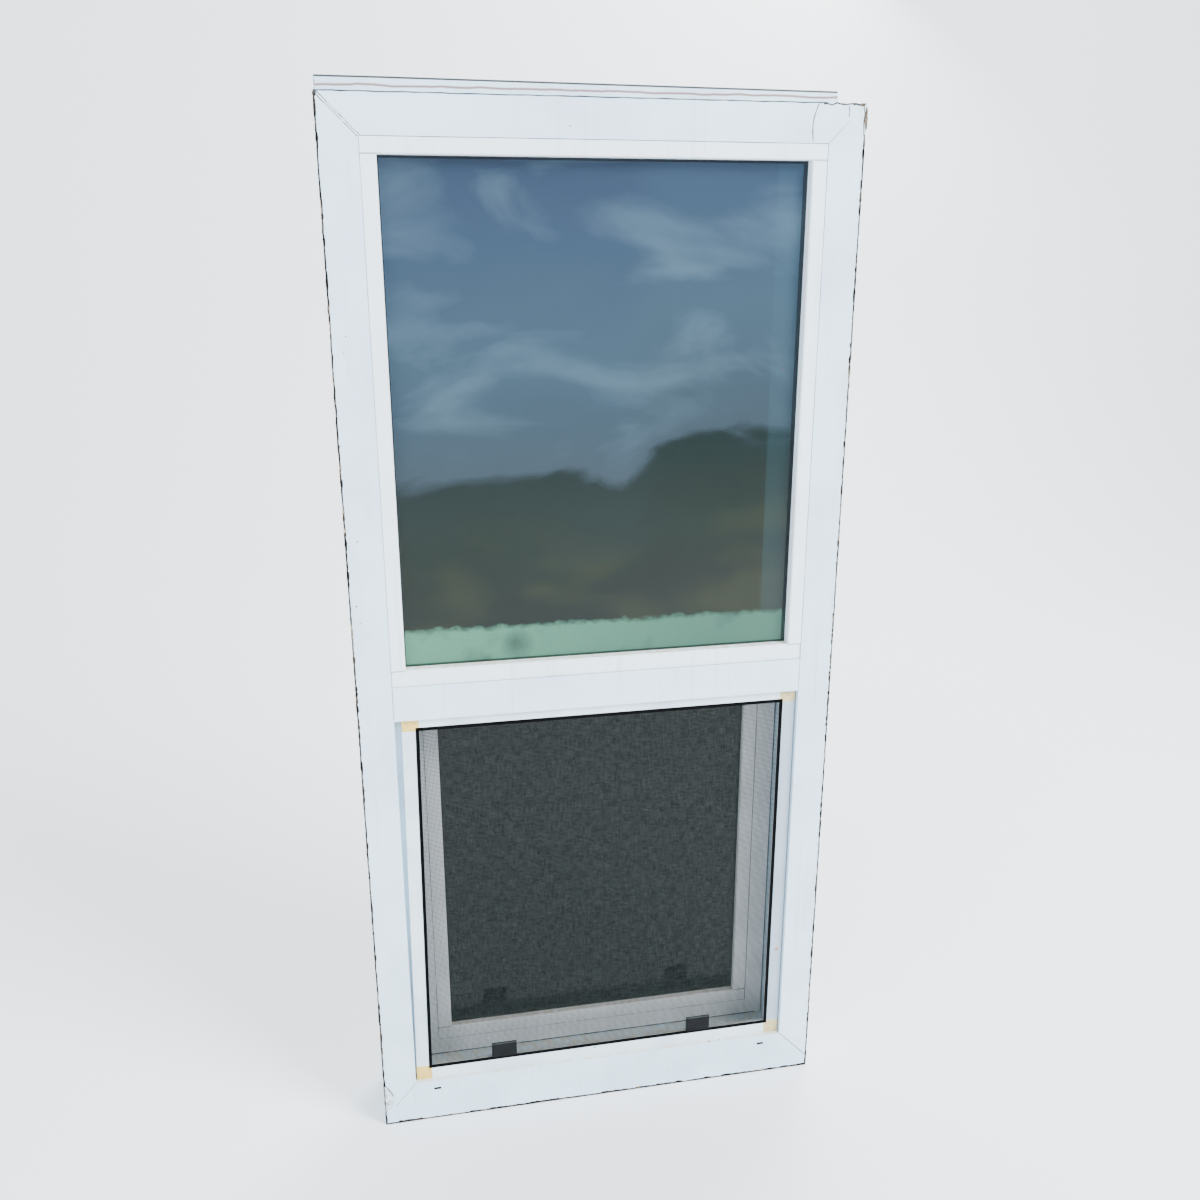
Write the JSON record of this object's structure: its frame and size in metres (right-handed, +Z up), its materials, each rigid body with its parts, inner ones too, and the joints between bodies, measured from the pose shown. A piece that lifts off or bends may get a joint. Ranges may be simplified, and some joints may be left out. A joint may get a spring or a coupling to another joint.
{
  "type": "sash window",
  "caption": "Upright white window: a fixed glazed upper light, a lower sash that slides up inside on spiral balances, a cam lock and an outside insect screen.",
  "frame": {"origin": "middle of the sill's underside, half-way through the frame's depth", "axes": "+X along the width, to the right seen from outside; +Y from the weather side into the room; +Z up"},
  "size_m": [0.5206, 0.089, 1.1344],
  "materials": {
    "frame_pvc": "satin, weathered white",
    "bead_pvc": "satin white",
    "sash_pvc": "satin white",
    "glass": "clear float glass with a green tint",
    "spacer_aluminium": "mill, satin",
    "block_rubber": "matt",
    "glazing_tape": "matt",
    "pile": "woven pile",
    "seal_rubber": "matt",
    "zinc_steel": "zinc plated",
    "tube_pvc": "satin grey-white",
    "nylon": "moulded",
    "die_cast_zinc": "die-cast, satin",
    "lock_enamel": "white enamel",
    "screen_bar_enamel": "white coil enamel",
    "key_plastic": "yellowed plastic",
    "spline_vinyl": "matt",
    "insect_mesh": "coated glass-fibre yarn",
    "tab_vinyl": "satin"
  },
  "bodies": {
    "frame": {"frame_head": "frame_pvc", "frame_sill": "frame_pvc", "frame_jamb_left": "frame_pvc", "frame_jamb_right": "frame_pvc", "meeting_rail": "frame_pvc", "rail_screws": "zinc_steel", "upper_pane_outer": "glass", "upper_pane_inner": "glass", "upper_spacer": "spacer_aluminium", "upper_setting_blocks": "block_rubber", "upper_glazing_tape": "glazing_tape", "upper_bead_top": "bead_pvc", "upper_bead_bottom": "bead_pvc", "upper_bead_left": "bead_pvc", "upper_bead_right": "bead_pvc", "interlock_pile": "pile", "balance_tube_left": "tube_pvc", "balance_tube_right": "tube_pvc", "balance_screws": "zinc_steel", "lock_keeper": "die_cast_zinc", "keeper_screws": "zinc_steel", "screen_bar_top": "screen_bar_enamel", "screen_bar_bottom": "screen_bar_enamel", "screen_bar_left": "screen_bar_enamel", "screen_bar_right": "screen_bar_enamel", "screen_corner_keys": "key_plastic", "screen_spline": "spline_vinyl", "screen_mesh": "insect_mesh", "screen_pull_tabs": "tab_vinyl"},
    "sash": {"sash_stile_left": "sash_pvc", "sash_stile_right": "sash_pvc", "sash_top_rail": "sash_pvc", "sash_bottom_rail": "sash_pvc", "sash_pane_outer": "glass", "sash_pane_inner": "glass", "sash_spacer": "spacer_aluminium", "sash_setting_blocks": "block_rubber", "sash_glazing_tape": "glazing_tape", "sash_bead_top": "sash_pvc", "sash_bead_bottom": "sash_pvc", "sash_bead_left": "sash_pvc", "sash_bead_right": "sash_pvc", "sash_pile_outer": "pile", "sash_pile_inner": "pile", "sash_bottom_seal": "seal_rubber", "balance_rod_left": "zinc_steel", "balance_rod_right": "zinc_steel", "balance_foot_left": "nylon", "balance_foot_right": "nylon", "foot_screws": "zinc_steel", "lock_base": "lock_enamel", "lock_screws": "zinc_steel"},
    "balance_bush_l": {"balance_bush_left": "nylon"},
    "balance_bush_r": {"balance_bush_right": "nylon"},
    "lock": {"lock_cam": "die_cast_zinc", "lock_lever": "lock_enamel"}
  },
  "joints": [
    {"name": "sash_slide", "type": "slide", "parent": "frame", "child": "sash", "axis": [0, 0, 1], "range_m": [0, 0.44]},
    {"name": "lock_turn", "type": "hinge", "parent": "sash", "child": "lock", "pos_m": [0, 0.0167, 0.586], "axis": [0, 0, 1], "range_deg": [0, 180]},
    {"name": "bush_left_turn", "type": "hinge", "parent": "frame", "child": "balance_bush_l", "pos_m": [-0.22935, 0.025, 0.55], "axis": [0, 0, 1], "range_deg": [-3301, 0]},
    {"name": "bush_right_turn", "type": "hinge", "parent": "frame", "child": "balance_bush_r", "pos_m": [0.22935, 0.025, 0.55], "axis": [0, 0, 1], "range_deg": [0, 3301]}
  ],
  "couplings": [
    {"joint": "bush_left_turn", "follows": "sash_slide", "rad_per_m": -130.9},
    {"joint": "bush_right_turn", "follows": "sash_slide", "rad_per_m": 130.9}
  ]
}
